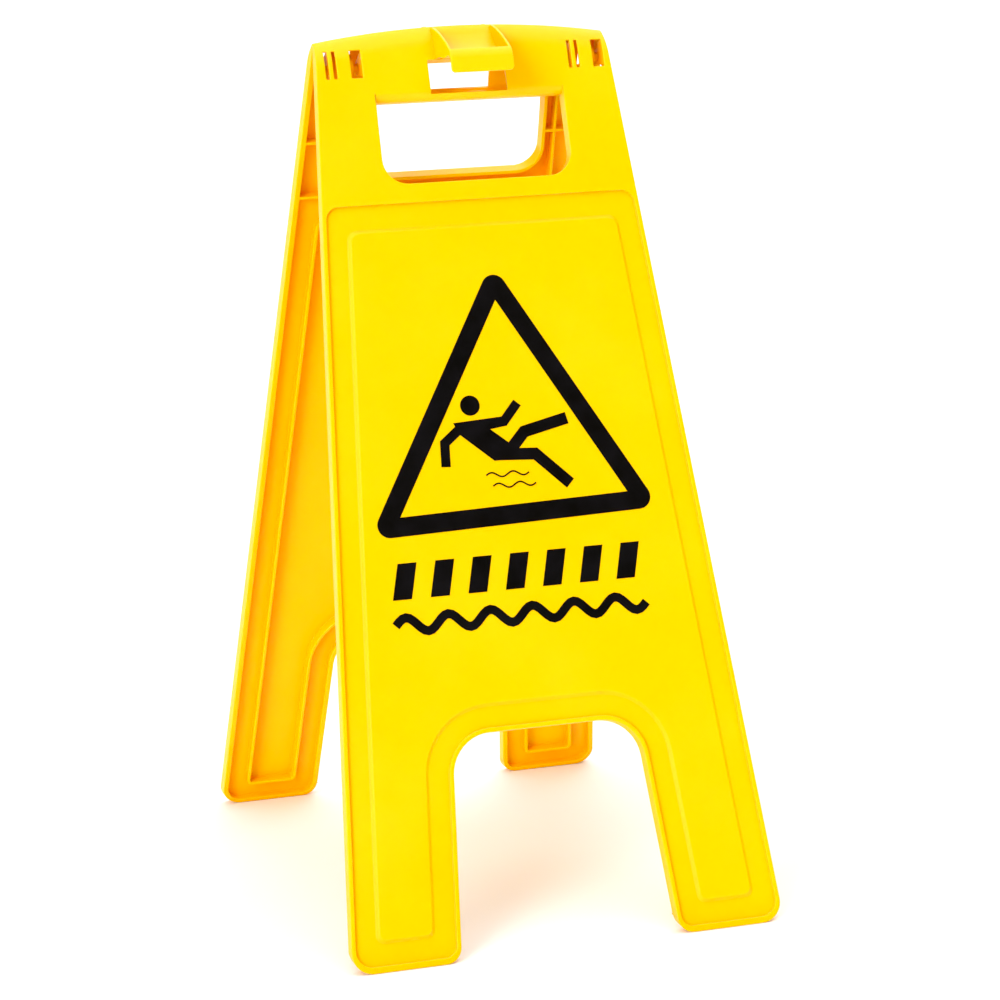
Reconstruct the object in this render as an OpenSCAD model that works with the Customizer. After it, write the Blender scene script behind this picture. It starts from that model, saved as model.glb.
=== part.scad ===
// Folding floor sign: two identical moulded panels clipped together at the top.
// Each panel is drawn in its own frame: X across, Y inwards from the outer face, Z up the panel.

/* [Panel outline] */
// Width of the panel at the floor
foot_w = 300; // [280:1:320]
// Width of the panel where its crown starts
top_w = 206; // [200:1:210]
// Radius of the outer corners of the feet
foot_r = 14; // [10:1:18]
// Radius of the inner corners of the feet
foot_inner_r = 11; // [8:1:14]
// Width of the gap between the feet, at the floor
cut_w = 152; // [140:1:160]
// Width of the gap between the feet, at its top
cut_top_w = 129; // [120:1:136]
// Height of the gap between the feet
cut_h = 147.5; // [130:0.5:160]
// Radius of the top corners of that gap
cut_r = 28; // [20:1:32]

/* [Opening angle] */
// Angle between the two panels when the sign stands open
open_angle = 37.2; // [34:0.2:40]

/* [Moulded section] */
// Thickness of the moulded sheet
wall = 2.4; // [2:0.1:3]
// Thickness of the edge flange
flange_t = 3.8; // [3:0.1:4]
// Depth of the edge flange
flange_depth = 10; // [8:0.5:10]
// Width of the raised rim round the recessed field
rim_w = 3; // [2.5:0.5:4]
// Depth of the recessed field
recess_depth = 2.2; // [1.5:0.1:2.5]
// Height of the recessed field's top edge above the floor
recess_top = 506.5; // [490:0.5:508]
// Distance from the panel's edge to the raised plateau
plateau_inset = 17; // [15:0.5:20]
// Height of the plateau's top edge above the floor
plateau_top = 490; // [475:1:492]
// Depth of the plateau's face below the rim
plateau_depth = 0.4; // [0.2:0.1:0.8]
// Width of the sloping edge of the plateau
plateau_slope = 2.2; // [1.5:0.1:3]
// Thickness of the rib round the hollow behind the plateau
hollow_rib_t = 2.4; // [1.8:0.1:2.6]

/* [Crown] */
// Radius of the arch at the top of the panel, seen from the front
crown_r = 508; // [480:1:560]
// Height at which the middle of the panel starts to curve inwards
crown_start = 613.5; // [612:0.5:615]
// Radius of that inward curve
crown_round = 23; // [20:0.5:26]

/* [Handle] */
// Width of the hand opening
handle_w = 133; // [120:1:136]
// Height of the hand opening's lower edge
handle_low = 519.7; // [515:0.1:525]
// Height of the hand opening's upper edge
handle_high = 577; // [570:0.5:578]
// Radius of the opening's lower corners
handle_r = 17; // [12:1:20]
// Radius of the rolled lower edge of the grip
grip_r = 6; // [5:0.5:6.5]

/* [Rail hook] */
// Width of the hook
hook_w = 43.6; // [40:0.2:46]
// Distance that the hook stands out from the panel
hook_reach = 38.5; // [34:0.5:40]
// Height up the panel at which the hook's lip starts to bend
hook_knee = 594.5; // [593:0.5:596]
// Radius of that bend
hook_knee_r = 10; // [8:0.5:12]
// Height of the lip's lower edge up the panel
hook_low = 584.8; // [582:0.2:590]
// Thickness of the hook's floor and lip
hook_t = 2.4; // [2:0.1:2.8]
// Thickness of the hook's side ribs
hook_rib_t = 1.8; // [1.5:0.1:2.5]
// Width of the window behind the hook
window_w = 54.2; // [50:0.2:58]
// Height of the window's lower edge up the panel
window_low = 580.6; // [580:0.2:584]
// Height of the window's upper edge up the panel
window_high = 604; // [602:0.2:604.4]

/* [Hinge] */
// Height of the hinge axis up the panel
hinge_v = 604; // [603:0.5:605]
// Distance of the hinge axis from the panel's outer face
hinge_n = 14.3; // [14:0.1:15]
// Distance of the outer finger and of the outer slot from the middle
outer_x = 94.6; // [93:0.1:94.6]
// Distance of the inner finger and of the inner slot from the middle
inner_x = 77; // [76.5:0.1:78]
// Sideways offset of the grip, the hook and the hinge from the outline's middle
offset_x = 0.9; // [0:0.1:0.9]
// Width of a slot
slot_w = 7.8; // [7.4:0.1:7.8]
// Height of the slots
slot_h = 19.5; // [18:0.5:20]
// Diameter of the hinge pins
pin_d = 6; // [5:0.1:7]
// Radial running clearance of a finger on its pin
pin_clearance = 0.05; // [0.02:0.01:0.1]
// Thickness of a finger
finger_t = 3; // [2.6:0.1:3.2]
// Outer radius of a finger's eye
finger_r = 8.2; // [7:0.1:9]
// Thickness of a pin cheek
cheek_t = 1.5; // [1.2:0.1:1.5]
// Outer radius of a pin cheek
cheek_r = 5.5; // [5:0.1:6]

/* [Print] */
// Thickness of the printed film
film = 0.2; // [0.15:0.05:0.3]
// Width of the warning triangle's border
ring_w = 12.8; // [10:0.2:15]
// Outer corner radius of the warning triangle
ring_r = 8.5; // [6:0.5:10]

/* [Hidden] */

$fn = 64;
yellow = "#fde500";
black = "#1a1713";

// Half the opening angle: each panel leans by this much.
lean = open_angle / 2;
// Gap between the two top edges when they rest against each other.
top_gap = 0.3;
// Feet stand this far from the middle plane, so that the hinge axis lies in it.
spread = hinge_v * sin(lean) + hinge_n * cos(lean);
// Length of an unclipped panel blank, well above the crown.
blank_top = 670;
// Extra height of the recess and of the plateau above the sole of the feet.
foot_lift = 1.5;
// Inside of the sole, above the floor line of the outer face.
sole = 6.5;
recess_corner_r = 9;
plateau_corner_r = 7;
// Distance from the panel's edge to the hollow behind the plateau, and its extra height above the sole.
hollow_inset = plateau_inset + plateau_slope + 1.1;
hollow_lift = 0.4;
// Depth of the middle of the hook's bend.
knee_n = hook_knee_r - hook_reach;
arc_steps = 10;
crown_steps = 14;
// Centre of the crown's arch, on the panel's centreline.
crown_centre = crown_start - crown_r;
// Slope of the panel's side edges.
side_slope = (foot_w - top_w) / 2 / crown_start;
// Height of the step in the back of the sheet, at the top of the recess.
back_step = recess_top + wall;

function half_width(v) = foot_w / 2 - side_slope * v;
function unit(v) = v / norm(v);
function left_normal(a, b) = let (d = unit(b - a)) [-d.y, d.x];

// Corner b of a polygon whose edges have all moved inwards by d.
function inset_corner(a, b, c, d) =
    let (n1 = left_normal(a, b), n2 = left_normal(b, c))
    b + d / (1 + n1 * n2) * (n1 + n2);

// Points of the arc of radius r that rounds corner b.
function round_corner(a, b, c, r) =
    let (d1 = unit(b - a), d2 = unit(c - b),
         turn = atan2(cross(d1, d2), d1 * d2),
         start = b - r * tan(abs(turn) / 2) * d1,
         centre = start + sign(turn) * r * [-d1.y, d1.x],
         from = atan2(start.y - centre.y, start.x - centre.x))
    [for (i = [0 : arc_steps]) centre + r * [cos(from + turn * i / arc_steps),
                                             sin(from + turn * i / arc_steps)]];

// A closed polygon with one radius per corner; radius 0 keeps the corner sharp.
function rounded(points, radii) =
    let (n = len(points))
    [for (i = [0 : n - 1])
        each radii[i] == 0 ? [points[i]]
           : round_corner(points[(i + n - 1) % n], points[i], points[(i + 1) % n], radii[i])];

// The panel's outline moved inwards by d, with its feet lifted and its top edge at top_v.
function panel_outline(d, lift = 0, top_v = blank_top, top_r = 0, foot_min_r = 5) =
    let (low = lift + d,
         p = [[-foot_w / 2, 0], [-cut_w / 2, 0], [-cut_top_w / 2, cut_h],
              [cut_top_w / 2, cut_h], [cut_w / 2, 0], [foot_w / 2, 0],
              [half_width(top_v + d), top_v + d], [-half_width(top_v + d), top_v + d]],
         q = [for (i = [0 : 7]) inset_corner(p[(i + 7) % 8], p[i], p[(i + 1) % 8], d)],
         lifted = [for (i = [0 : 7]) let (a = q[i], b = q[i < 2 ? (i == 0 ? 7 : 2) : (i == 4 ? 3 : 6)])
                   (i == 0 || i == 1 || i == 4 || i == 5)
                   ? a + (b - a) * (low - a.y) / (b.y - a.y) : a],
         r = [max(foot_r - d, foot_min_r), max(foot_inner_r - d, foot_min_r), cut_r + d, cut_r + d,
              max(foot_inner_r - d, foot_min_r), max(foot_r - d, foot_min_r), top_r, top_r])
    rounded(lifted, r);

// Extrudes an outline drawn across and up the panel, from depth n0 to depth n1.
module slab(n0, n1) {
    translate([0, n1, 0]) rotate([90, 0, 0]) linear_extrude(n1 - n0) children();
}

// Extrudes a profile of [depth, height] points across the panel, from x0 to x1.
module across(x0, x1, profile) {
    translate([x0, 0, 0]) rotate([90, 0, 90]) linear_extrude(x1 - x0) polygon(profile);
}

// Convex faces that together fill an outline of eight rounded corners, m points each.
// Corners 2 and 3 are the hollow ones at the top of the gap between the feet.
function outline_faces(m, base) =
    let (last = 8 * m - 1, right = 6 * m,
         left_leg = [last, each [0 : 2 * m]],
         right_leg = [right, each [4 * m - 1 : 6 * m - 1]],
         middle = [last, 3 * m - 1, 3 * m, each [right : last - 1]],
         left_fan = [for (i = [2 * m : 3 * m - 2]) [last, i, i + 1]],
         right_fan = [for (i = [3 * m : 4 * m - 2]) [right, i, i + 1]])
    [for (face = concat([left_leg, right_leg, middle], left_fan, right_fan))
        [for (i = face) base + i]];

function reversed(list) = [for (i = [len(list) - 1 : -1 : 0]) list[i]];

// A solid between two panel outlines at two depths.
module loft(n0, outline0, n1, outline1) {
    m = len(outline0);
    points = [for (p = outline0) [p.x, n0, p.y], for (p = outline1) [p.x, n1, p.y]];
    caps = concat(outline_faces(m / 8, 0), [for (face = outline_faces(m / 8, m)) reversed(face)]);
    sides = [for (i = [0 : m - 1]) let (j = (i + 1) % m) [i, m + i, m + j, j]];
    polyhedron(points, concat(caps, sides));
}

// Everything below the crown: a disc with a rounded edge, moved inwards by the thickness t.
module crown_body(t) {
    r = crown_round - t;
    profile = concat([[0, t]],
        [for (i = [0 : crown_steps]) let (a = 70 * i / crown_steps)
            [crown_r + r * sin(a), crown_round - r * cos(a)]],
        [[crown_r + r * sin(70), crown_round + 10], [0, crown_round + 10]]);
    translate([0, 0, crown_centre]) rotate([-90, 0, 0])
        rotate_extrude($fn = 720) polygon(profile);
}

// What rounds off a foot's corner b, between its neighbours a and c. It is cut level through the
// leaning panel, so that the corner looks the same at every depth.
module foot_corner(a, b, c, r) {
    arc = round_corner(a, b, c, r);
    out1 = -3 * left_normal(a, b);
    out2 = -3 * left_normal(b, c);
    shape = [for (p = concat([arc[0] + out1], arc, [arc[arc_steps] + out2, b + out1 + out2]))
             [p.x, p.y * cos(lean)]];
    to_panel() translate([0, -spread + 40, 0]) rotate([90, 0, 0]) linear_extrude(80) polygon(shape);
}

// The solid form of the panel between its outer face and the back of its flange.
module panel_blank() {
    top = [for (side = [1, -1]) [side * half_width(blank_top), blank_top]];
    gap = [for (side = [-1, 1]) [side * cut_top_w / 2, cut_h]];
    flare = (cut_w - cut_top_w) / 2 / cut_h;
    feet = [for (x = [-half_width(-1), -cut_w / 2 - flare, cut_w / 2 + flare, half_width(-1)]) [x, -1]];
    difference() {
        intersection() {
            slab(-1, flange_depth)
                polygon(rounded([feet[0], feet[1], gap[0], gap[1], feet[2], feet[3], top[0], top[1]],
                                [0, 0, cut_r, cut_r, 0, 0, 0, 0]));
            crown_body(0);
        }
        for (side = [-1, 1]) {
            edge = [side * half_width(100), 100];
            toe = [side * foot_w / 2, 0];
            heel = [side * cut_w / 2, 0];
            arch = [side * cut_top_w / 2, cut_h];
            if (side < 0) {
                foot_corner(edge, toe, heel, foot_r);
                foot_corner(toe, heel, arch, foot_inner_r);
            } else {
                foot_corner(heel, toe, edge, foot_r);
                foot_corner(arch, heel, toe, foot_inner_r);
            }
        }
    }
}

// Outline of the hollow behind the plateau, grown by d.
function hollow_outline(d) =
    panel_outline(hollow_inset - d, hollow_lift, plateau_top - plateau_slope - 1.1 + d, 3 + d, 2 + d);

// What is taken out of the back of the blank, so that only sheet and flange stay.
module panel_back() {
    field_depth = recess_depth + wall;
    inside = panel_outline(flange_t, sole - flange_t);
    slab(field_depth, flange_depth + 1) difference() {
        intersection() {
            polygon(inside);
            translate([-foot_w, 0]) square([2 * foot_w, back_step + 1]);
        }
        polygon(hollow_outline(hollow_rib_t));
    }
    slab(plateau_depth + wall, flange_depth + 1) polygon(hollow_outline(0));
    intersection() {
        slab(0, flange_depth + 1) intersection() {
            polygon(inside);
            translate([-foot_w, back_step]) square([2 * foot_w, blank_top]);
        }
        crown_body(wall);
    }
}

// The recessed field in the outer face, without its plateau.
module recess() {
    slab(-1, recess_depth)
        polygon(panel_outline(rim_w, foot_lift, recess_top, recess_corner_r));
}

// The raised plateau that carries the print.
module plateau() {
    loft(recess_depth + 0.2, panel_outline(plateau_inset, foot_lift, plateau_top, plateau_corner_r),
         plateau_depth, panel_outline(plateau_inset + plateau_slope, foot_lift,
                                      plateau_top - plateau_slope, plateau_corner_r));
}

// Outline of the hand opening, grown by d.
function handle_outline(d) =
    let (x = handle_w / 2 + d, low = handle_low - d, high = handle_high + d)
    rounded([[-x, low], [x, low], [x, high], [-x, high]],
            [handle_r + d, handle_r + d, 0, 0]);

// The wall round the hand opening.
module handle_wall() {
    slab(0, flange_depth) polygon(handle_outline(wall));
}

// The rolled lower edge of the grip, above the hand opening.
module grip_edge() {
    centre = [grip_r, handle_high + grip_r];
    inner = grip_r - wall;
    profile = concat(
        [for (i = [0 : arc_steps]) centre - grip_r * [cos(90 * i / arc_steps), sin(90 * i / arc_steps)]],
        [[flange_depth, handle_high], [flange_depth, handle_high + wall]],
        [for (i = [arc_steps : -1 : 0]) centre - inner * [cos(90 * i / arc_steps), sin(90 * i / arc_steps)]]);
    across(-handle_w / 2 - wall, handle_w / 2 + wall, profile);
}

// The window through the grip, behind the hook.
module hook_window() {
    slab(-1, grip_r) translate([-window_w / 2, window_low])
        square([window_w, window_high - window_low]);
}

// The wall behind the window's upper edge.
module window_wall() {
    slab(1, flange_depth) translate([-window_w / 2 - 2, window_high]) square([window_w + 4, 2]);
}

// Ribs inside the panel, beside the hand opening.
module stiffening_ribs() {
    rib_x = 74.6;
    rib_t = 2;
    rib_v = 548.5;
    for (side = [-1, 1]) {
        across(side * rib_x - rib_t / 2, side * rib_x + rib_t / 2,
               [[1, back_step - 3], [flange_depth, back_step - 3],
                [flange_depth, handle_high + 12], [1, handle_high + 12]]);
        low_x = handle_w / 2 + 1;
        high_x = half_width(rib_v) - 1;
        across(side > 0 ? low_x : -high_x, side > 0 ? high_x : -low_x,
               [[1, rib_v - rib_t / 2], [flange_depth, rib_v - rib_t / 2],
                [flange_depth, rib_v + rib_t / 2], [1, rib_v + rib_t / 2]]);
    }
    across(1 - half_width(back_step), half_width(back_step) - 1,
           [[1, back_step - rib_t], [flange_depth, back_step - rib_t],
            [flange_depth, back_step], [1, back_step]]);
}

// The hook's outer profile, as [depth, height] points from the crown down to its lip.
hook_arc_r = 125;
bend = [knee_n + hook_knee_r * cos(135), hook_knee + hook_knee_r * sin(135)];
arc_centre = bend + hook_arc_r * [sin(45), -cos(45)];
rib_arc = [for (a = [115 : 2.5 : 135]) arc_centre + hook_arc_r * [cos(a), sin(a)]];
knee_arc = [for (a = [140 : 5 : 180]) [knee_n + hook_knee_r * cos(a), hook_knee + hook_knee_r * sin(a)]];

// The top of the hook's hollow floor at t, from 0 at the crown to 1 just behind the bend.
floor_low = bend + [2, -1.1];
function floor_top(t) = [3 + (floor_low.x - 3) * t, floor_low.y + 23.8 * pow(1 - t, 3)];

// The floor of the hook and the lip that hangs from it.
module hook_floor() {
    steps = 16;
    x = hook_w / 2;
    inner_n = hook_t - hook_reach;
    profile = concat([for (i = [0 : steps]) floor_top(i / steps)],
        [bend + [1.3, -0.3], bend], knee_arc,
        [[-hook_reach, hook_low], [inner_n, hook_low], [inner_n, hook_knee + 1]],
        [for (i = [steps : -1 : 0]) floor_top(i / steps) - [0, hook_t]]);
    intersection() {
        across(-x, x, profile);
        slab(-hook_reach - 1, flange_depth)
            polygon(rounded([[-x, hook_low], [x, hook_low], [x, blank_top], [-x, blank_top]],
                            [2.5, 3, 0, 0]));
    }
}

// The two side ribs of the hook.
module hook_ribs() {
    foot = [5, rib_arc[0].y];
    hollow = [[hook_t - hook_reach, hook_knee - 2], [hook_t - hook_reach, hook_knee + 0.5],
              [-33, hook_knee + 3], [-24, hook_knee + 5.7], [-15, hook_knee + 7.1],
              [-8, hook_knee + 8.1], [0, window_high + 0.6], [2, window_high + 1]];
    profile = concat([foot], rib_arc, knee_arc, [[-hook_reach, hook_knee - 2]], hollow);
    for (x = [-hook_w / 2, hook_w / 2 - hook_rib_t]) across(x, x + hook_rib_t, profile);
}

// A plate from the sheet to the hinge axis, ending in an eye of radius r.
module hinge_plate(x0, t, r) {
    half = slot_h / 2 - 0.5;
    translate([x0, hinge_n, hinge_v]) rotate([0, 90, 0]) cylinder(r = r, h = t);
    intersection() {
        across(x0, x0 + t, [[0, hinge_v - half], [hinge_n, hinge_v - r],
                            [hinge_n, hinge_v + r], [0, hinge_v + half]]);
        crown_body(wall / 2);
    }
}

// A finger, open at the lower inner side of its eye so that it snaps over a pin.
module finger(x) {
    centre = [hinge_n, hinge_v];
    along = [sin(30), -cos(30)];
    side = 0.43 * pin_d * [cos(30), sin(30)];
    difference() {
        hinge_plate(x - finger_t / 2, finger_t, finger_r);
        translate([x - finger_t, hinge_n, hinge_v]) rotate([0, 90, 0])
            cylinder(d = pin_d + 2 * pin_clearance, h = 2 * finger_t);
        across(x - finger_t, x + finger_t,
               [centre + side, centre - side, centre - side + 20 * along, centre + side + 20 * along]);
    }
}

// The two cheeks that hold a pin behind its slot.
module pin_cheeks(x) {
    difference() {
        for (x0 = [x - slot_w / 2 - cheek_t, x + slot_w / 2]) hinge_plate(x0, cheek_t, cheek_r);
        translate([x - slot_w, hinge_n, hinge_v]) rotate([0, 90, 0])
            cylinder(d = pin_d, h = 2 * slot_w);
    }
}

// The two slits beside a finger.
module finger_slits(x) {
    slit_w = (slot_w - finger_t) / 2;
    for (x0 = [x - slot_w / 2, x + finger_t / 2]) slot(x0, slit_w);
}

// A slot of width w through the sheet, starting at x0.
module slot(x0, w) {
    translate([x0, -1, hinge_v - slot_h / 2 - 0.4]) cube([w, 9, slot_h]);
}

// Room in the flange beside the outer finger, for the other panel's cheek.
module cheek_relief() {
    x = outer_x + offset_x + slot_w / 2 + cheek_t + 0.3;
    intersection() {
        translate([-x, hinge_n - cheek_r - 0.4, hinge_v - cheek_r - 1]) cube([3, 10, 30]);
        crown_body(wall);
    }
}

// Cuts away all that lies below the floor or beyond the middle plane.
module trim_to_half() {
    size = 2 * blank_top;
    intersection() {
        children();
        to_panel() translate([-size / 2, -size - top_gap / 2, 0]) cube(size);
    }
}

// From a panel's own frame to the frame of the whole sign, and back.
module to_sign() { translate([0, -spread, 0]) rotate([-lean, 0, 0]) children(); }
module to_panel() { rotate([lean, 0, 0]) translate([0, spread, 0]) children(); }

// Moves a grip, hook or hinge feature to its place across the panel.
module placed() { translate([offset_x, 0, 0]) children(); }

// The formed sheet with its openings, before the hook and the hinge are added.
module sheet() {
    difference() {
        trim_to_half() union() {
            difference() {
                union() {
                    difference() {
                        panel_blank();
                        recess();
                        panel_back();
                    }
                    difference() {
                        plateau();
                        panel_back();
                    }
                    placed() handle_wall();
                    placed() window_wall();
                    stiffening_ribs();
                }
                placed() slab(-1, flange_depth + 1) polygon(handle_outline(0));
                placed() translate([-handle_w / 2, -1, handle_high - 1])
                    cube([handle_w, flange_depth + 2, grip_r + 1]);
            }
            placed() grip_edge();
        }
        placed() {
            hook_window();
            finger_slits(-outer_x);
            finger_slits(inner_x);
            slot(-inner_x - slot_w / 2, slot_w);
            slot(outer_x - slot_w / 2, slot_w);
        }
        cheek_relief();
    }
}

// One moulded panel, in its own frame.
module panel() {
    sheet();
    placed() {
        hook_floor();
        hook_ribs();
        finger(-outer_x);
        finger(inner_x);
        pin_cheeks(-inner_x);
        pin_cheeks(outer_x);
    }
}

// One hinge pin with broken edges, in its panel's own frame.
module hinge_pin(x) {
    half = slot_w / 2 + cheek_t;
    r = pin_d / 2;
    edge = 0.4;
    translate([x + offset_x, hinge_n, hinge_v]) rotate([0, 90, 0])
        rotate_extrude() polygon([[0, -half], [r - edge, -half], [r, edge - half],
                                  [r, half - edge], [r - edge, half], [0, half]]);
}

// A printed film on the plateau.
module printed() { slab(plateau_depth - film, plateau_depth) children(); }

// A band of width w along a path, with mitred corners.
function ribbon(path, w) =
    let (m = len(path),
         n = [for (i = [0 : m - 1])
              let (a = left_normal(path[max(i - 1, 0)], path[max(i, 1)]),
                   b = left_normal(path[min(i, m - 2)], path[min(i + 1, m - 1)]))
              (a + b) / (1 + a * b)])
    concat([for (i = [0 : m - 1]) path[i] + w / 2 * n[i]],
           [for (i = [m - 1 : -1 : 0]) path[i] - w / 2 * n[i]]);

// A wave of the given amplitude and length along X, as a path.
function wave(x0, x1, v, height, length, steps) =
    [for (i = [0 : steps]) let (x = x0 + (x1 - x0) * i / steps)
        [x, v + height * sin(360 * (x - x0) / length)]];

// Inner corners of the warning triangle, which is printed a little out of square.
triangle = [[-82.5, 295], [77.5, 299], [1, 436.5]];

module warning_triangle() {
    outer = [for (i = [0 : 2]) inset_corner(triangle[(i + 2) % 3], triangle[i], triangle[(i + 1) % 3], -ring_w)];
    printed() difference() {
        polygon(rounded(outer, [ring_r, ring_r, ring_r]));
        polygon(triangle);
    }
}

module slip_figure() {
    arm_w = 6.4;
    leg_w = 8;
    printed() {
        translate([-25.5, 366]) circle(r = 6.8);
        polygon([[-38.5, 355], [-2.5, 357], [-1.5, 350.5], [-13.5, 349], [-1, 338.5], [-7, 327.5],
                 [-13, 327.5], [-35, 347]]);
        polygon(ribbon([[-33, 352], [-46, 342], [-47, 326]], arm_w));
        polygon(ribbon([[-12, 353.2], [-3, 353.8], [7.5, 365.5]], arm_w));
        polygon(ribbon([[-9, 331.5], [16, 330], [38, 308]], leg_w));
        polygon(ribbon([[-3, 332], [10, 345.5], [41, 352.5]], leg_w));
    }
}

module water_lines() {
    printed() {
        polygon(ribbon(wave(-20, 10, 318, 1.6, 15, 30), 1));
        polygon(ribbon(wave(-16, 14, 310.5, 1.6, 15, 30), 1));
    }
}

module hazard_stripes() {
    count = 7;
    pitch = 26;
    stripe_w = 13;
    stripe_h = 24;
    start = -94;
    low = 240.5;
    printed() for (i = [0 : count - 1]) translate([start + i * pitch, low])
        polygon([[0, 0], [stripe_w, 0], [stripe_w + 6, stripe_h], [6, stripe_h]]);
}

module wave_band() {
    printed() polygon(ribbon(wave(-94, 81, 223.5, 5, 29.2, 72), 6));
}

module front(tint) { color(tint) to_sign() children(); }
module rear(tint) { color(tint) rotate([0, 0, 180]) to_sign() children(); }

module front_panel() { front(yellow) panel(); }
module rear_panel() { rear(yellow) panel(); }
module front_hinge_pin_outer() { front(yellow) hinge_pin(outer_x); }
module front_hinge_pin_inner() { front(yellow) hinge_pin(-inner_x); }
module rear_hinge_pin_outer() { rear(yellow) hinge_pin(outer_x); }
module rear_hinge_pin_inner() { rear(yellow) hinge_pin(-inner_x); }
module front_warning_triangle() { front(black) warning_triangle(); }
module front_slip_figure() { front(black) slip_figure(); }
module front_water_lines() { front(black) water_lines(); }
module front_hazard_stripes() { front(black) hazard_stripes(); }
module front_wave_band() { front(black) wave_band(); }
module rear_warning_triangle() { rear(black) warning_triangle(); }
module rear_slip_figure() { rear(black) slip_figure(); }
module rear_water_lines() { rear(black) water_lines(); }
module rear_hazard_stripes() { rear(black) hazard_stripes(); }
module rear_wave_band() { rear(black) wave_band(); }

front_panel();
rear_panel();
front_hinge_pin_outer();
front_hinge_pin_inner();
rear_hinge_pin_outer();
rear_hinge_pin_inner();
front_warning_triangle();
front_slip_figure();
front_water_lines();
front_hazard_stripes();
front_wave_band();
rear_warning_triangle();
rear_slip_figure();
rear_water_lines();
rear_hazard_stripes();
rear_wave_band();
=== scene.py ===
"""Wet floor sign: camera, studio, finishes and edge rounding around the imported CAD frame."""
import math

import bpy
from mathutils import Vector, Matrix


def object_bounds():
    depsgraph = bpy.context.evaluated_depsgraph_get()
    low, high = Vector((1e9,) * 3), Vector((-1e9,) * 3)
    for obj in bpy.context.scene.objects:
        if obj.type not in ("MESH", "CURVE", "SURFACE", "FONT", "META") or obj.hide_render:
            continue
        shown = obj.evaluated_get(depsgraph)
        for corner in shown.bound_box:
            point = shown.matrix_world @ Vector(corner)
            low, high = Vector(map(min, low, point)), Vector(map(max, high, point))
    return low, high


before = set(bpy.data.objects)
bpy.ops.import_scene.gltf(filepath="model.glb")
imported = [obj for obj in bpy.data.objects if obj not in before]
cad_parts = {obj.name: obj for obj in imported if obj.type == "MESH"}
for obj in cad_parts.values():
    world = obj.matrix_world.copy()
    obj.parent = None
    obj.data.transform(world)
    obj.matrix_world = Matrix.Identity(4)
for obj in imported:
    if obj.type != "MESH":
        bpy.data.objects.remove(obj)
cad_low, cad_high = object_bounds()

scene = bpy.context.scene
for leftover in ("Cube", "Light", "Camera"):
    if leftover in bpy.data.objects:
        bpy.data.objects.remove(bpy.data.objects[leftover], do_unlink=True)

PANELS = ("front_panel", "rear_panel")
PINS = tuple(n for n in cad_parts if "hinge_pin" in n)
PRINTS = tuple(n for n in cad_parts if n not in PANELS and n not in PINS)

# Colours.
YELLOW = (0.95, 0.582, 0.0)
PIN_YELLOW = (0.93, 0.60, 0.0)
# Painted shade: the orange the plastic turns in its hollows and on faces turned from the key light.
PAINTED_SHADE = (0.98, 0.44, 0.0)
# Painted highlight: the pale yellow put on the edges.
EDGE_HIGHLIGHT = (1.0, 0.86, 0.16)
INK_DARK = (0.0022, 0.0017, 0.0046)
INK_LIGHT = (0.0038, 0.0029, 0.0070)
PAPER_DARK = (0.945, 0.945, 0.945)
PAPER_LIGHT = (0.965, 0.965, 0.96)

# Painted shade deepens the plastic's colour in its hollows and painted highlights pale its edges.
# Lengths are in metres.
HOLLOW_REACH = 0.032
KEY_LEAN = 0.8
HIGHLIGHT_RADIUS = 0.0007

# Edge rounding.
WELD = 1e-5
FLAT_ANGLE = math.radians(0.25)
SHARP_ANGLE = math.radians(28)
PANEL_ROUNDING = 0.0005
PIN_ROUNDING = 0.0002
ROUNDING_SEGMENTS = 2
MEETING_ZONE = 0.0045
ROOT_ZONE = (0.030, 0.0235, 0.543)

# The key light's azimuth and elevation in degrees, and the studio floor.
KEY = (-46.0, 22.0)
FLOOR_HALF = 60.0
FLOOR_GAP = 0.0002


# ---------------------------------------------------------------- camera
def make_camera():
    azimuth, elevation, roll = (math.radians(a) for a in (-16.74, 11.82, -1.62))
    distance = 2.2295
    target = Vector((0.01881, -0.00566, 0.2622))
    back = Vector((math.sin(azimuth) * math.cos(elevation),
                   -math.cos(azimuth) * math.cos(elevation),
                   math.sin(elevation)))
    right = Vector((math.cos(azimuth), math.sin(azimuth), 0.0))
    up = back.cross(right)
    tilted_right = math.cos(roll) * right + math.sin(roll) * up
    tilted_up = -math.sin(roll) * right + math.cos(roll) * up
    data = bpy.data.cameras.new("camera")
    data.lens = 114.0
    data.sensor_width = 36.0
    data.clip_start = 0.05
    data.clip_end = 100.0
    camera = bpy.data.objects.new("camera", data)
    scene.collection.objects.link(camera)
    matrix = Matrix((tilted_right, tilted_up, back)).transposed().to_4x4()
    matrix.translation = target + back * distance
    camera.matrix_world = matrix
    scene.camera = camera


make_camera()


# ---------------------------------------------------------------- node helpers
def new_material(name):
    material = bpy.data.materials.new(name)
    material.use_nodes = True
    tree = material.node_tree
    tree.nodes.clear()
    output = tree.nodes.new("ShaderNodeOutputMaterial")
    shader = tree.nodes.new("ShaderNodeBsdfPrincipled")
    tree.links.new(shader.outputs["BSDF"], output.inputs["Surface"])
    return material, tree, shader


def noise(tree, vector, scale, detail=3.0, rough=0.55):
    node = tree.nodes.new("ShaderNodeTexNoise")
    node.inputs["Scale"].default_value = scale
    node.inputs["Detail"].default_value = detail
    node.inputs["Roughness"].default_value = rough
    tree.links.new(vector, node.inputs["Vector"])
    return node.outputs["Fac"]


def remap(tree, value, from_low, from_high, to_low, to_high):
    node = tree.nodes.new("ShaderNodeMapRange")
    node.inputs["From Min"].default_value = from_low
    node.inputs["From Max"].default_value = from_high
    node.inputs["To Min"].default_value = to_low
    node.inputs["To Max"].default_value = to_high
    tree.links.new(value, node.inputs["Value"])
    return node.outputs["Result"]


def maths(tree, operation, a, b):
    node = tree.nodes.new("ShaderNodeMath")
    node.operation = operation
    for socket, value in zip(node.inputs, (a, b)):
        if isinstance(value, (int, float)):
            socket.default_value = value
        else:
            tree.links.new(value, socket)
    return node.outputs[0]


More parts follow.
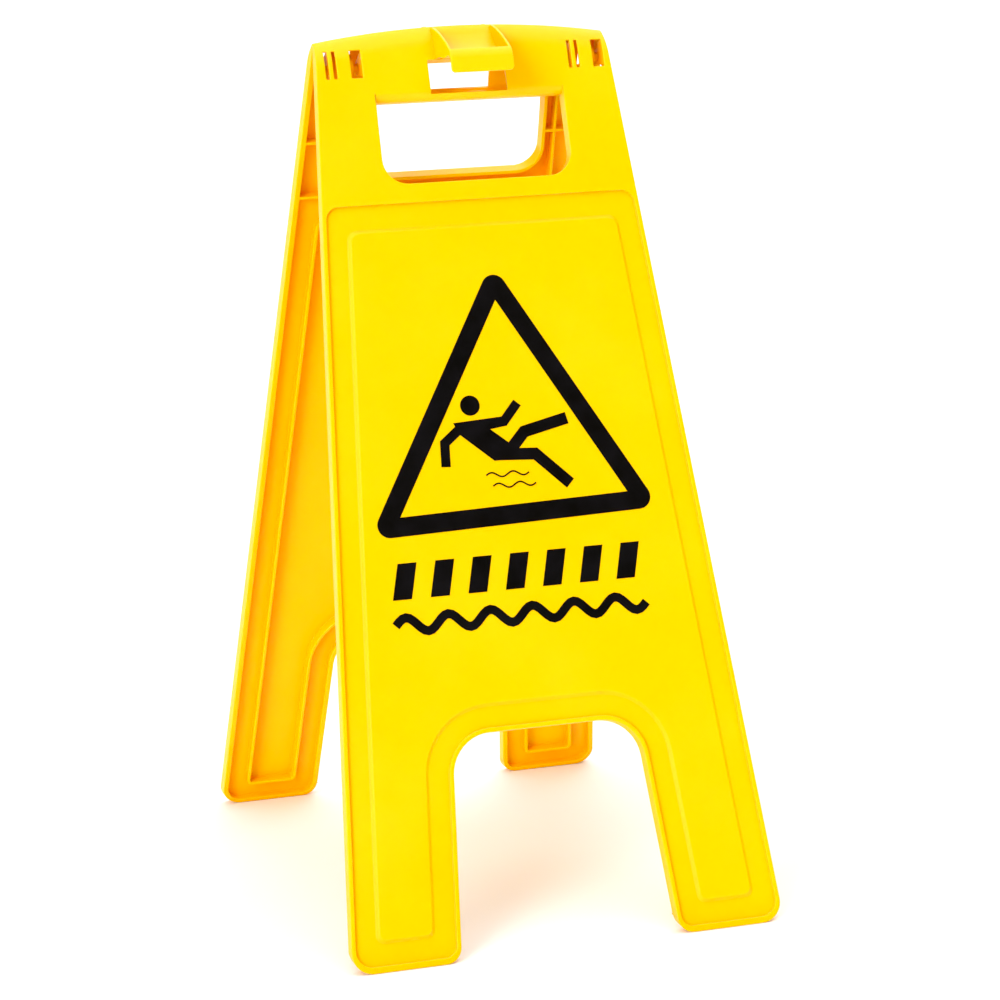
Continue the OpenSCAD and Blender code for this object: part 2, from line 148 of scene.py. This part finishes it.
def mix_colour(tree, factor, a, b):
    node = tree.nodes.new("ShaderNodeMix")
    node.data_type = "RGBA"
    for name, value in (("Factor", factor), ("A", a), ("B", b)):
        socket = next(s for s in node.inputs
                      if s.name == name and s.type == ("VALUE" if name == "Factor" else "RGBA"))
        if isinstance(value, (int, float)):
            socket.default_value = value
        elif isinstance(value, tuple):
            socket.default_value = (*value, 1.0)
        else:
            tree.links.new(value, socket)
    return next(s for s in node.outputs if s.type == "RGBA")


def bump(tree, height, strength, distance, under=None):
    node = tree.nodes.new("ShaderNodeBump")
    node.inputs["Strength"].default_value = strength
    node.inputs["Distance"].default_value = distance
    tree.links.new(height, node.inputs["Height"])
    if under is not None:
        tree.links.new(under, node.inputs["Normal"])
    return node.outputs["Normal"]


# ---------------------------------------------------------------- finishes
def edge_mask(tree, radius):
    """0 on a flat or smooth face, rising to 1 within the radius of an edge."""
    rounded = tree.nodes.new("ShaderNodeBevel")
    rounded.samples = 4
    rounded.inputs["Radius"].default_value = radius
    geometry = tree.nodes.new("ShaderNodeNewGeometry")
    dot = tree.nodes.new("ShaderNodeVectorMath")
    dot.operation = "DOT_PRODUCT"
    tree.links.new(rounded.outputs["Normal"], dot.inputs[0])
    tree.links.new(geometry.outputs["Normal"], dot.inputs[1])
    return remap(tree, dot.outputs["Value"], 0.995, 0.80, 0.0, 1.0), rounded.outputs["Normal"]


def bearing(azimuth, elevation):
    """Unit vector towards a light: azimuth 0 is straight ahead of the front panel, 90 its right side."""
    a, e = math.radians(azimuth), math.radians(elevation)
    return Vector((math.sin(a) * math.cos(e), -math.cos(a) * math.cos(e), math.sin(e)))


def polypropylene(name, colour, shade_colour, seed):
    """Moulded plastic. Painted shade deepens its colour in hollows, most where the key light doesn't
    reach, and painted highlights pale its edges.
    """
    material, tree, shader = new_material(name)
    coords = tree.nodes.new("ShaderNodeTexCoord").outputs["Object"]
    shift = tree.nodes.new("ShaderNodeVectorMath")
    shift.operation = "ADD"
    shift.inputs[1].default_value = (seed, seed * 0.37, -seed * 0.61)
    tree.links.new(coords, shift.inputs[0])
    place = shift.outputs["Vector"]

    clouds = noise(tree, place, 9.0, 3.0)
    flow = noise(tree, place, 42.0, 4.0)
    grain = noise(tree, place, 1900.0, 2.0, 0.6)
    pebble = noise(tree, place, 520.0, 3.0, 0.5)
    highlight_edges, rounded = edge_mask(tree, HIGHLIGHT_RADIUS)

    light = tuple(min(1.0, c * 1.03 + 0.004) for c in colour)
    dark = tuple(c * 0.955 for c in colour)
    tint = mix_colour(tree, remap(tree, clouds, 0.30, 0.70, 0.0, 1.0), dark, light)
    speckled = mix_colour(tree, remap(tree, flow, 0.35, 0.65, 0.0, 0.35), tint, colour)

    # Painted shade: an occlusion probe leaning towards the key light mixes the painted shade colour into
    # hollows and faces turned from the key.
    lean = tree.nodes.new("ShaderNodeVectorMath")
    lean.operation = "ADD"
    tree.links.new(tree.nodes.new("ShaderNodeNewGeometry").outputs["Normal"], lean.inputs[0])
    lean.inputs[1].default_value = tuple(KEY_LEAN * part for part in bearing(*KEY))
    hollow = tree.nodes.new("ShaderNodeAmbientOcclusion")
    hollow.samples = 8
    hollow.inputs["Distance"].default_value = HOLLOW_REACH
    tree.links.new(lean.outputs["Vector"], hollow.inputs["Normal"])
    depth = remap(tree, hollow.outputs["AO"], 0.90, 0.38, 0.0, 1.0)
    shaded = mix_colour(tree, depth, speckled, shade_colour)
    # Painted highlight: the edges pale towards the highlight colour, varied by noise.
    highlight_amount = maths(tree, "MULTIPLY", highlight_edges, remap(tree, flow, 0.3, 0.7, 0.08, 0.36))
    highlighted = mix_colour(tree, highlight_amount, shaded, EDGE_HIGHLIGHT)
    tree.links.new(highlighted, shader.inputs["Base Color"])

    roughness = maths(tree, "ADD", remap(tree, clouds, 0.3, 0.7, 0.36, 0.42),
                      remap(tree, pebble, 0.3, 0.7, -0.03, 0.05))
    tree.links.new(maths(tree, "ADD", roughness, maths(tree, "MULTIPLY", highlight_edges, 0.10)),
                   shader.inputs["Roughness"])
    shader.inputs["Specular IOR Level"].default_value = 0.22
    shader.inputs["Subsurface Weight"].default_value = 0.45
    shader.inputs["Subsurface Radius"].default_value = (1.0, 0.42, 0.03)
    shader.inputs["Subsurface Scale"].default_value = 0.005

    sink = bump(tree, flow, 0.10, 0.0010, rounded)
    skin = bump(tree, pebble, 0.12, 0.00025, sink)
    tree.links.new(bump(tree, grain, 0.10, 0.00008, skin), shader.inputs["Normal"])
    return material


def ink(name):
    material, tree, shader = new_material(name)
    coords = tree.nodes.new("ShaderNodeTexCoord").outputs["Object"]
    body = noise(tree, coords, 60.0, 3.0)
    screen = noise(tree, coords, 1400.0, 2.0)
    shade = remap(tree, body, 0.3, 0.7, 0.0, 1.0)
    tree.links.new(mix_colour(tree, shade, INK_DARK, INK_LIGHT), shader.inputs["Base Color"])
    tree.links.new(maths(tree, "ADD", remap(tree, body, 0.3, 0.7, 0.40, 0.50),
                         remap(tree, screen, 0.3, 0.7, -0.04, 0.04)), shader.inputs["Roughness"])
    shader.inputs["Specular IOR Level"].default_value = 0.18
    tree.links.new(bump(tree, screen, 0.15, 0.0001), shader.inputs["Normal"])
    return material


panel_finish = polypropylene("panel_polypropylene", YELLOW, PAINTED_SHADE, 0.0)
pin_finish = polypropylene("pin_polypropylene", PIN_YELLOW, PAINTED_SHADE, 3.0)
ink_finish = ink("screen_ink")


def dress(node, material):
    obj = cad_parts[node]
    for slot in obj.material_slots:
        slot.material = material


for node in PANELS:
    dress(node, panel_finish)
for node in PINS:
    dress(node, pin_finish)
for node in PRINTS:
    dress(node, ink_finish)


# ---------------------------------------------------------------- edge rounding
def clean_group():
    """Welds the mesh, drops its stored normals and shades it smooth."""
    group = bpy.data.node_groups.new("clean_mesh", "GeometryNodeTree")
    group.interface.new_socket("Geometry", in_out="INPUT", socket_type="NodeSocketGeometry")
    group.interface.new_socket("Geometry", in_out="OUTPUT", socket_type="NodeSocketGeometry")
    nodes, links = group.nodes, group.links
    start, end = nodes.new("NodeGroupInput"), nodes.new("NodeGroupOutput")
    weld = nodes.new("GeometryNodeMergeByDistance")
    weld.inputs["Distance"].default_value = WELD
    drop = nodes.new("GeometryNodeRemoveAttribute")
    drop.inputs["Name"].default_value = "custom_normal"
    faces = nodes.new("GeometryNodeSetShadeSmooth")
    faces.domain = "FACE"
    edges = nodes.new("GeometryNodeSetShadeSmooth")
    edges.domain = "EDGE"
    last = start.outputs[0]
    for node in (weld, drop, faces, edges):
        links.new(last, node.inputs["Geometry" if "Geometry" in node.inputs else "Mesh"])
        last = node.outputs[0]
    links.new(last, end.inputs[0])
    return group


def mark_group():
    """Marks the sharp edges to round. Those where the panels meet and the hook starts stay crisp."""
    group = bpy.data.node_groups.new("mark_edges", "GeometryNodeTree")
    group.interface.new_socket("Geometry", in_out="INPUT", socket_type="NodeSocketGeometry")
    group.interface.new_socket("Geometry", in_out="OUTPUT", socket_type="NodeSocketGeometry")
    nodes, links = group.nodes, group.links
    start, end = nodes.new("NodeGroupInput"), nodes.new("NodeGroupOutput")

    def compare(value, operation, limit):
        node = nodes.new("FunctionNodeCompare")
        node.data_type, node.operation = "FLOAT", operation
        node.inputs[1].default_value = limit
        links.new(value, node.inputs[0])
        return node.outputs[0]

    def logic(operation, *values):
        node = nodes.new("FunctionNodeBooleanMath")
        node.operation = operation
        for socket, value in zip(node.inputs, values):
            links.new(value, socket)
        return node.outputs[0]

    def size(value):
        node = nodes.new("ShaderNodeMath")
        node.operation = "ABSOLUTE"
        links.new(value, node.inputs[0])
        return node.outputs[0]

    angle = nodes.new("GeometryNodeInputMeshEdgeAngle")
    sharp = compare(angle.outputs["Unsigned Angle"], "GREATER_THAN", SHARP_ANGLE)
    place = nodes.new("ShaderNodeSeparateXYZ")
    links.new(nodes.new("GeometryNodeInputPosition").outputs[0], place.inputs[0])
    across, depth = size(place.outputs["X"]), size(place.outputs["Y"])
    meeting = compare(depth, "LESS_THAN", MEETING_ZONE)
    root = logic("AND", logic("AND", compare(across, "LESS_THAN", ROOT_ZONE[0]),
                              compare(depth, "LESS_THAN", ROOT_ZONE[1])),
                 compare(place.outputs["Z"], "GREATER_THAN", ROOT_ZONE[2]))
    crisp = logic("OR", meeting, root)

    store = nodes.new("GeometryNodeStoreNamedAttribute")
    store.data_type, store.domain = "FLOAT", "EDGE"
    store.inputs["Name"].default_value = "bevel_weight_edge"
    links.new(start.outputs[0], store.inputs["Geometry"])
    links.new(logic("AND", sharp, logic("NOT", crisp)), store.inputs["Value"])
    crease = nodes.new("GeometryNodeSetShadeSmooth")
    crease.domain = "EDGE"
    crease.inputs["Shade Smooth"].default_value = False
    links.new(store.outputs[0], crease.inputs[0])
    links.new(logic("AND", sharp, crisp), crease.inputs["Selection"])
    links.new(crease.outputs[0], end.inputs[0])
    return group


CLEAN = clean_group()
MARK = mark_group()


def soften(node, width):
    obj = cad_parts[node]
    clean = obj.modifiers.new("clean", "NODES")
    clean.node_group = CLEAN
    merge = obj.modifiers.new("merge_flats", "DECIMATE")
    merge.decimate_type = "DISSOLVE"
    merge.angle_limit = FLAT_ANGLE
    if node in PANELS:
        mark = obj.modifiers.new("mark", "NODES")
        mark.node_group = MARK
    rounding = obj.modifiers.new("rounding", "BEVEL")
    rounding.width = width
    rounding.segments = ROUNDING_SEGMENTS
    rounding.use_clamp_overlap = False
    rounding.miter_outer = "MITER_ARC"
    if node in PANELS:
        rounding.limit_method = "WEIGHT"
    else:
        rounding.limit_method = "ANGLE"
        rounding.angle_limit = SHARP_ANGLE
    normals = obj.modifiers.new("normals", "WEIGHTED_NORMAL")
    normals.mode = "FACE_AREA"
    normals.weight = 50
    normals.keep_sharp = True


for node in PANELS:
    soften(node, PANEL_ROUNDING)
for node in PINS:
    soften(node, PIN_ROUNDING)


# ---------------------------------------------------------------- studio
def make_floor():
    mesh = bpy.data.meshes.new("floor")
    corners = [(x * FLOOR_HALF, y * FLOOR_HALF, 0) for x, y in ((-1, -1), (1, -1), (1, 1), (-1, 1))]
    mesh.from_pydata(corners, [], [(0, 1, 2, 3)])
    floor = bpy.data.objects.new("floor", mesh)
    floor.location.z = cad_low[2] - FLOOR_GAP
    scene.collection.objects.link(floor)
    material, tree, shader = new_material("floor_paper")
    coords = tree.nodes.new("ShaderNodeTexCoord").outputs["Object"]
    tree.links.new(mix_colour(tree, noise(tree, coords, 3.0), PAPER_DARK, PAPER_LIGHT),
                   shader.inputs["Base Color"])
    shader.inputs["Roughness"].default_value = 0.8
    shader.inputs["Specular IOR Level"].default_value = 0.2
    mesh.materials.append(material)


def sun(name, azimuth, elevation, softness, strength):
    """A sun lamp at the given bearing, with its angular size in degrees."""
    data = bpy.data.lights.new(name, "SUN")
    data.energy = strength
    data.angle = math.radians(softness)
    light = bpy.data.objects.new(name, data)
    scene.collection.objects.link(light)
    light.rotation_euler = bearing(azimuth, elevation).to_track_quat("Z", "Y").to_euler()


def make_world():
    world = bpy.data.worlds.new("studio")
    scene.world = world
    world.use_nodes = True
    tree = world.node_tree
    tree.nodes.clear()
    output = tree.nodes.new("ShaderNodeOutputWorld")
    background = tree.nodes.new("ShaderNodeBackground")
    tree.links.new(background.outputs[0], output.inputs["Surface"])
    coords = tree.nodes.new("ShaderNodeTexCoord").outputs["Generated"]
    dot = tree.nodes.new("ShaderNodeVectorMath")
    dot.operation = "DOT_PRODUCT"
    dot.inputs[1].default_value = Vector((-0.62, -0.55, 0.56)).normalized()
    tree.links.new(coords, dot.inputs[0])
    strength = remap(tree, dot.outputs["Value"], -1.0, 1.0, 0.31, 0.42)
    tree.links.new(strength, background.inputs["Strength"])
    background.inputs["Color"].default_value = (1.0, 1.0, 1.0, 1.0)


make_floor()
make_world()
sun("top", 0.0, 88.0, 80.0, 2.1)
sun("key", *KEY, 26.0, 1.92)
sun("fill", 150.0, 38.0, 60.0, 1.1)
scene.view_settings.view_transform = "Standard"
scene.view_settings.look = "None"
scene.view_settings.use_curve_mapping = True
scene.view_settings.curve_mapping.black_level = (0.008, 0.008, 0.013)
